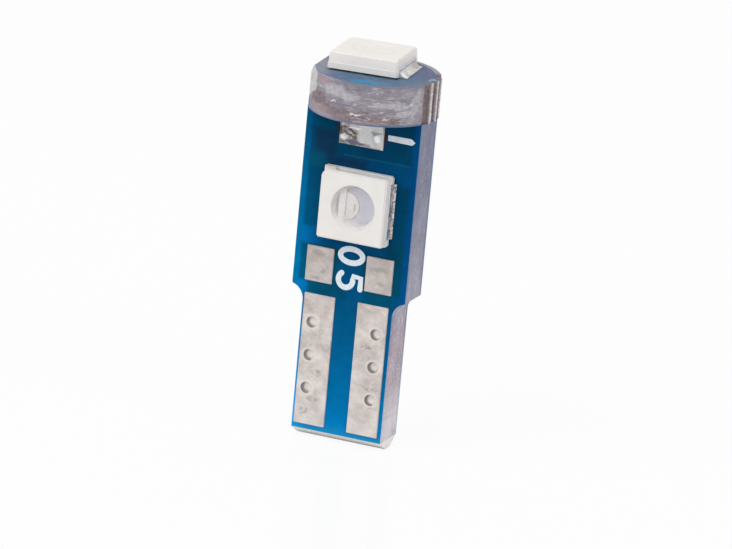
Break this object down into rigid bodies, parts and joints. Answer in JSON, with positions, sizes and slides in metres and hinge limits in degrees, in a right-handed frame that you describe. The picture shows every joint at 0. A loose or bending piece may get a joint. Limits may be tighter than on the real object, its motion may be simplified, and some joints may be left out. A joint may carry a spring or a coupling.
{
  "type": "wedge base led bulb",
  "caption": "Small wedge base LED bulb: flat circuit board whose narrow end is the base, a round board across its top, and a surface-mount lamp on each face and on top.",
  "frame": {"origin": "centre of the underside, at the tip of the wedge base's scored end", "axes": "+Z from the wedge base up to the top lamp; -Y out of the front face; +X to the right as the front face is seen"},
  "size_m": [0.0061, 0.0062, 0.0191],
  "materials": {
    "solder_mask": "blue solder mask over copper and bare laminate, milled laminate edges in grey lilac",
    "milled_laminate": "milled glass-fibre laminate edge, grey lilac, with blue solder mask on its flat top",
    "tinned_copper": "dull hot-tinned copper, mottled warm grey",
    "bright_solder": "bright reflowed solder",
    "lead_frame": "silver-plated lead frame",
    "white_moulding": "off-white moulded lamp housing, satin",
    "clear_filling": "clear cast filling",
    "led_die": "bare semiconductor die",
    "resistor_coat": "black glass overcoat on pale ceramic"
  },
  "bodies": {
    "root": {"main_board": "solder_mask", "top_board": "milled_laminate", "contact_left": "tinned_copper", "contact_right": "tinned_copper", "front_land_left": "tinned_copper", "front_land_right": "tinned_copper", "resistor_body": "resistor_coat", "resistor_cap_left": "bright_solder", "resistor_cap_right": "bright_solder", "resistor_joint_left": "bright_solder", "resistor_joint_right": "bright_solder", "board_joint_front": "bright_solder", "board_joint_back": "bright_solder", "front_led_housing": "white_moulding", "front_led_lens": "clear_filling", "front_led_die": "led_die", "front_led_lead_left": "lead_frame", "front_led_lead_right": "lead_frame", "front_led_solder_left": "bright_solder", "front_led_solder_right": "bright_solder", "back_led_housing": "white_moulding", "back_led_lens": "clear_filling", "back_led_die": "led_die", "back_led_lead_left": "lead_frame", "back_led_lead_right": "lead_frame", "back_led_solder_left": "bright_solder", "back_led_solder_right": "bright_solder", "top_led_housing": "white_moulding", "top_led_lens": "clear_filling", "top_led_die": "led_die", "top_led_lead_left": "lead_frame", "top_led_lead_right": "lead_frame", "top_led_solder_left": "bright_solder", "top_led_solder_right": "bright_solder"}
  },
  "joints": []
}
